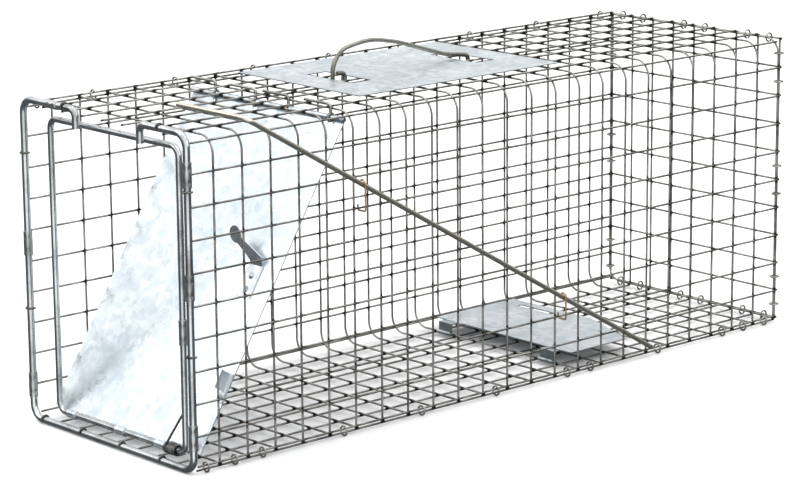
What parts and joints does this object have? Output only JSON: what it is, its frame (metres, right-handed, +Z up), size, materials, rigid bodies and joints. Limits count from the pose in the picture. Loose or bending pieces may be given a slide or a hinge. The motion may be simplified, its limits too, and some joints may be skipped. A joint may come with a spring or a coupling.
{
  "type": "live catch trap",
  "caption": "Long welded-wire live catch trap with a sloping drop door, a spring lock frame, a floor treadle, a sloping trigger rod and a wire carrying handle over a guard plate.",
  "frame": {"origin": "centre of the box on the surface the trap stands on, at z = 0", "axes": "+Z up, +Y from the door end to the closed rear, +X to the side that carries the trigger rod"},
  "size_m": [0.268, 0.8246, 0.3542],
  "materials": {
    "mesh_wire": "dull galvanised, dark at the welds",
    "lacing_wire": "galvanised",
    "bright_rod": "bright zinc plate",
    "door_zinc": "pale satin galvanised sheet",
    "fixings": "dull zinc",
    "spring_steel": "oiled spring wire",
    "rod_wire": "dull olive-beige zinc",
    "guide_brass": "dull brass wire",
    "plate_zinc": "pale satin galvanised sheet",
    "handle_wire": "dull galvanised"
  },
  "bodies": {
    "cage": {"top_wall_cross_wires": "mesh_wire", "top_wall_long_wires": "mesh_wire", "floor_wall_cross_wires": "mesh_wire", "floor_wall_long_wires": "mesh_wire", "rear_upright_wires": "mesh_wire", "rear_level_wires": "mesh_wire", "edge_rings": "lacing_wire", "rear_rings": "lacing_wire", "frame_clips": "lacing_wire", "front_frame": "bright_rod", "frame_sleeves": "bright_rod", "door_hangers": "lacing_wire", "front_rod_guide": "guide_brass", "rear_rod_guide": "guide_brass", "handle_guard": "plate_zinc"},
    "door": {"door_sheet": "door_zinc", "hinge_pin": "bright_rod", "upper_catch": "door_zinc", "lower_catch": "door_zinc", "catch_rivets": "fixings"},
    "lock": {"lock_frame": "bright_rod", "lock_sleeve": "bright_rod", "lock_spring": "spring_steel"},
    "trigger": {"trigger_rod": "rod_wire", "rod_hook": "rod_wire"},
    "treadle": {"treadle_plate": "plate_zinc", "treadle_tabs": "fixings", "treadle_rivets": "fixings"},
    "handle": {"carry_handle": "handle_wire"}
  },
  "joints": [
    {"name": "door_open", "type": "hinge", "parent": "cage", "child": "door", "pos_m": [-0.00165, -0.20883, 0.3074], "axis": [-1, 0, 0], "range_deg": [0, 11.5]},
    {"name": "lock_fold", "type": "hinge", "parent": "door", "child": "lock", "pos_m": [-0.00165, -0.39482, 0.0134], "axis": [-1, 0, 0], "range_deg": [0, 28.75], "stiffness_Nm_per_rad": 0.2, "springref_deg": -34.38},
    {"name": "treadle_tilt", "type": "hinge", "parent": "cage", "child": "treadle", "pos_m": [-0.00165, 0.09967, 0.0054], "axis": [-1, 0, 0], "range_deg": [0, 4], "stiffness_Nm_per_rad": 1, "springref_deg": -16.04},
    {"name": "rod_slide", "type": "slide", "parent": "cage", "child": "trigger", "axis": [0, 0.8637, -0.504], "range_m": [0, 0.0081]},
    {"name": "handle_swing", "type": "hinge", "parent": "cage", "child": "handle", "pos_m": [-0.01413, 0, 0.3154], "axis": [0, 1, 0], "range_deg": [-35, 35]}
  ],
  "couplings": [
    {"joint": "lock_fold", "follows": "door_open", "ratio": 2.5},
    {"joint": "rod_slide", "follows": "treadle_tilt", "m_per_rad": 0.1146}
  ]
}
